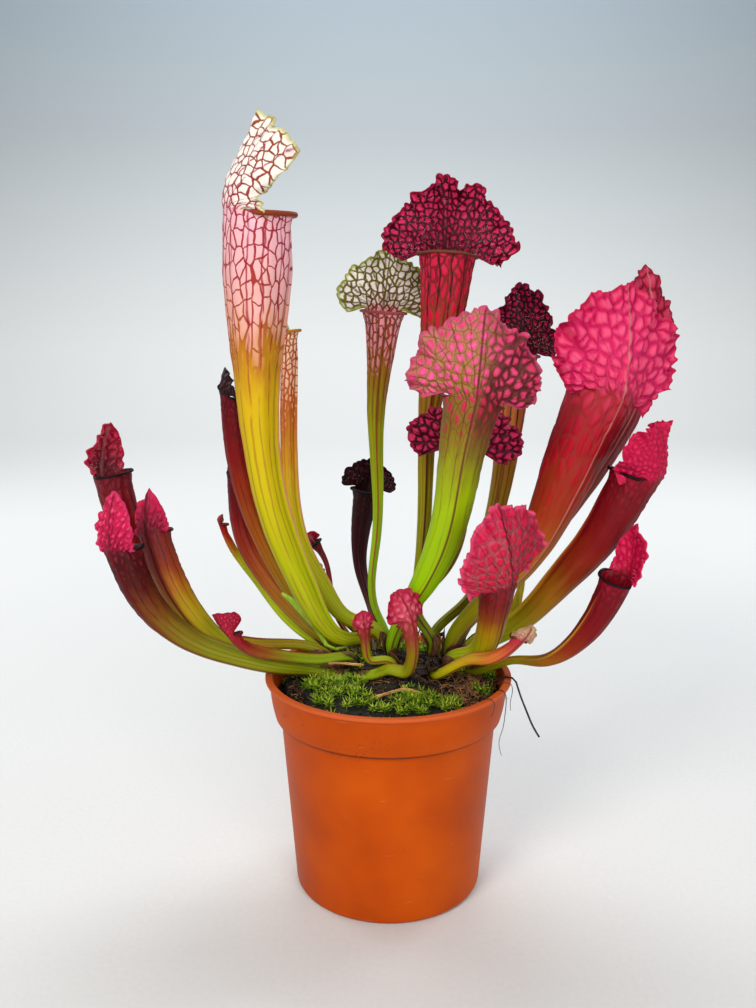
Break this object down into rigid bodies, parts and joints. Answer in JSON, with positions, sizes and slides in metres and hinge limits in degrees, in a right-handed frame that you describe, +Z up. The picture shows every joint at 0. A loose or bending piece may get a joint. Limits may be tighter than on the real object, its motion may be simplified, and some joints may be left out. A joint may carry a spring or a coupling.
{
  "type": "potted trumpet pitcher plant",
  "caption": "Trumpet pitcher plant with ruffled, net-veined hoods, growing from moss and peat in a tapered round nursery pot.",
  "frame": {"origin": "centre of the pot's underside, where it stands", "axes": "+Z up along the pot's axis, +Y away from the side that the plant is shown from, +X to its right"},
  "size_m": [0.2917, 0.1565, 0.3636],
  "materials": {
    "pot": "satin moulded orange polypropylene with light scuffs",
    "peat": "damp black peat with fibres",
    "moss": "bright green star-shaped moss shoots",
    "rhizome": "knobbly brown bark with old leaf bases",
    "dry": "dry tan straw",
    "root": "wiry black root",
    "pitcher_pale": "living leaf, yellow green to white cells with a red-brown vein net",
    "pitcher_red": "living leaf, crimson to pink puckered cells with a tan and maroon vein net",
    "pitcher_dark": "living leaf, dark maroon with near-black veins",
    "leaf_green": "living leaf, yellow green with fine lengthwise veins"
  },
  "bodies": {
    "root": {"pot": "pot", "growing_medium": "peat", "moss_mat": "moss", "rhizome": "rhizome", "dead_stalk": "dry", "dry_scrap": "dry", "stray_root": "root", "pitcher_tall_white": "pitcher_pale", "pitcher_narrow_white": "pitcher_pale", "pitcher_white_hood": "pitcher_pale", "pitcher_tall_crimson": "pitcher_red", "pitcher_pink_hood": "pitcher_red", "pitcher_dark_hood": "pitcher_dark", "pitcher_mid_crimson": "pitcher_red", "pitcher_great_crimson": "pitcher_red", "pitcher_great_crimson_back": "pitcher_red", "pitcher_right_arching": "pitcher_red", "pitcher_right_open": "pitcher_red", "pitcher_front_pink": "pitcher_red", "pitcher_front_withered": "pitcher_pale", "pitcher_front_small": "pitcher_pale", "pitcher_front_bud": "pitcher_pale", "pitcher_left_open": "pitcher_dark", "pitcher_left_outer": "pitcher_red", "pitcher_left_inner": "pitcher_red", "pitcher_left_bud": "pitcher_red", "pitcher_maroon_left": "pitcher_dark", "pitcher_maroon_low": "pitcher_dark", "pitcher_green_curl": "leaf_green", "pitcher_tiny_red": "pitcher_dark", "pitcher_tiny_curl": "pitcher_dark", "pitcher_black_hood": "pitcher_dark", "sword_leaf_yellow": "leaf_green", "sword_leaf_green": "leaf_green"}
  },
  "joints": []
}
